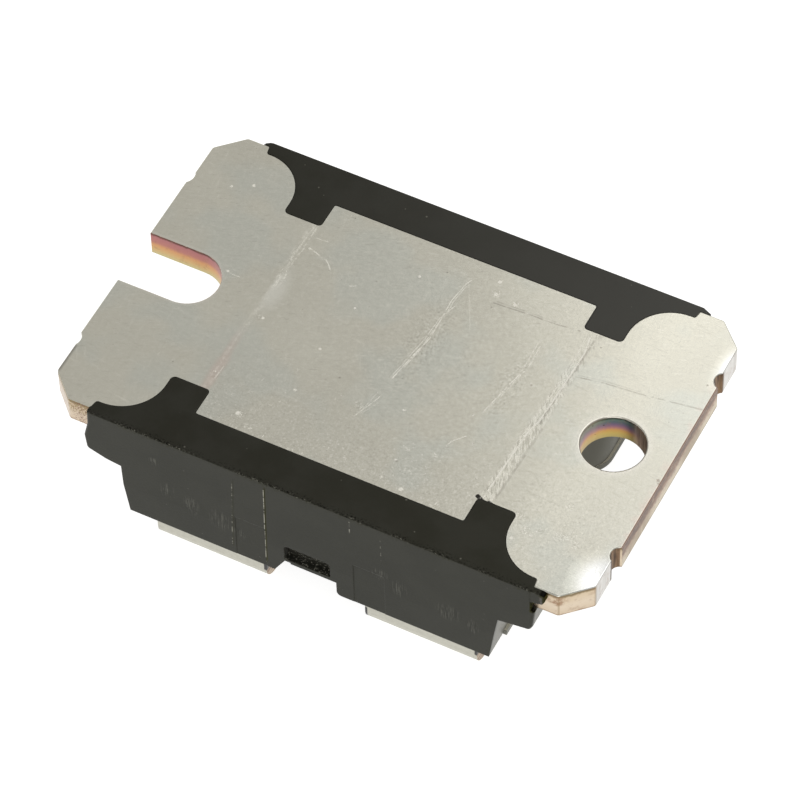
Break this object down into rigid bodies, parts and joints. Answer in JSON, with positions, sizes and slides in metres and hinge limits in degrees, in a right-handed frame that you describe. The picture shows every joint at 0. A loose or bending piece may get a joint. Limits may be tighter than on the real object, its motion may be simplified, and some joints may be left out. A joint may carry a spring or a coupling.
{
  "type": "diode module",
  "caption": "Black moulded power diode module lying on its folded screw terminals, with the nickel-plated mounting plate up: a round hole at one end and an open slot at the other.",
  "frame": {"origin": "middle of the footprint, level with the terminals' outer faces, on which the module lies", "axes": "+X along the length towards the round mounting hole, +Z out of the base plate's mounting face"},
  "size_m": [0.0382, 0.0248, 0.0118],
  "materials": {
    "plate_nickel": "satin nickel plating over copper, rubbed and scratched",
    "epoxy": "matte moulded epoxy",
    "terminal_nickel": "bright nickel plating over copper",
    "nut_steel": "plated steel",
    "solder": "dull solder",
    "copper": "bare copper",
    "alumina": "matte white alumina",
    "silicon": "metallised chip",
    "wire_aluminium": "drawn wire"
  },
  "bodies": {
    "root": {"base_plate": "plate_nickel", "housing": "epoxy", "terminal_1": "terminal_nickel", "terminal_2": "terminal_nickel", "terminal_3": "terminal_nickel", "terminal_4": "terminal_nickel", "nut_1": "nut_steel", "nut_2": "nut_steel", "nut_3": "nut_steel", "nut_4": "nut_steel", "substrate_solder": "solder", "substrate_back_copper": "copper", "substrate_ceramic": "alumina", "cathode_pad_1": "copper", "anode_pad_1": "copper", "cathode_pad_2": "copper", "anode_pad_2": "copper", "die_solder_1": "solder", "diode_chip_1": "silicon", "bond_wires_1": "wire_aluminium", "die_solder_2": "solder", "diode_chip_2": "silicon", "bond_wires_2": "wire_aluminium", "terminal_solder_1": "solder", "terminal_solder_2": "solder", "terminal_solder_3": "solder", "terminal_solder_4": "solder"}
  },
  "joints": []
}
